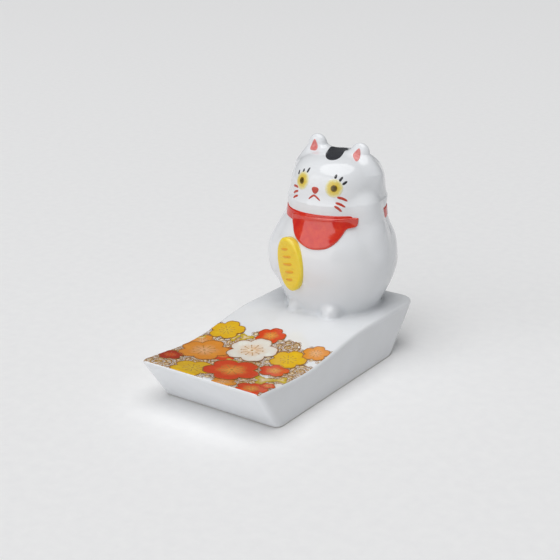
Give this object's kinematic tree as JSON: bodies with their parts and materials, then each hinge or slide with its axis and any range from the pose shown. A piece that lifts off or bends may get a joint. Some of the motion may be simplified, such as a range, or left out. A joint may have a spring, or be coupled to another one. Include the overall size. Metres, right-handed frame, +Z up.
{
  "type": "beckoning cat figurine",
  "caption": "White glazed porcelain beckoning cat with a red bib, holding an oval coin, on a long wave-topped plinth with an enamelled flower field.",
  "frame": {"origin": "on the table under the middle of the plinth", "axes": "+Z up, +Y from the low flowered end towards the end that carries the cat, which faces -Y; +X is the cat's left"},
  "size_m": [0.0482, 0.0988, 0.0771],
  "materials": {
    "glazed_porcelain": "clear glossy glaze over white porcelain",
    "red_enamel": "glossy iron-red overglaze enamel",
    "vermilion_line_enamel": "thin brush lines of red overglaze enamel",
    "coin_yellow_enamel": "glossy yellow overglaze enamel",
    "iris_yellow_enamel": "glossy yellow overglaze enamel",
    "black_enamel": "glossy black overglaze enamel",
    "ear_pink_enamel": "thin pink-red overglaze enamel",
    "flower_enamel": "printed overglaze transfer of vermilion, orange, yellow and white blossoms"
  },
  "bodies": {
    "root": {"beckoning_arm": "glazed_porcelain", "bib": "red_enamel", "cat_body": "glazed_porcelain", "coin_arm": "glazed_porcelain", "collar": "red_enamel", "crown_patch": "black_enamel", "flower_field": "flower_enamel", "hip_patch": "black_enamel", "koban_coin": "coin_yellow_enamel", "left_ear": "glazed_porcelain", "left_ear_lining": "ear_pink_enamel", "left_foot": "glazed_porcelain", "left_iris": "iris_yellow_enamel", "left_lash_1": "black_enamel", "left_lash_2": "black_enamel", "left_lash_3": "black_enamel", "left_pupil": "black_enamel", "left_whisker_1": "vermilion_line_enamel", "left_whisker_2": "vermilion_line_enamel", "left_whisker_3": "vermilion_line_enamel", "mouth": "vermilion_line_enamel", "nose": "vermilion_line_enamel", "right_ear": "glazed_porcelain", "right_ear_lining": "ear_pink_enamel", "right_foot": "glazed_porcelain", "right_iris": "iris_yellow_enamel", "right_lash_1": "black_enamel", "right_lash_2": "black_enamel", "right_lash_3": "black_enamel", "right_pupil": "black_enamel", "right_whisker_1": "vermilion_line_enamel", "right_whisker_2": "vermilion_line_enamel", "right_whisker_3": "vermilion_line_enamel", "tail": "glazed_porcelain", "wave_plinth": "glazed_porcelain"}
  },
  "joints": []
}
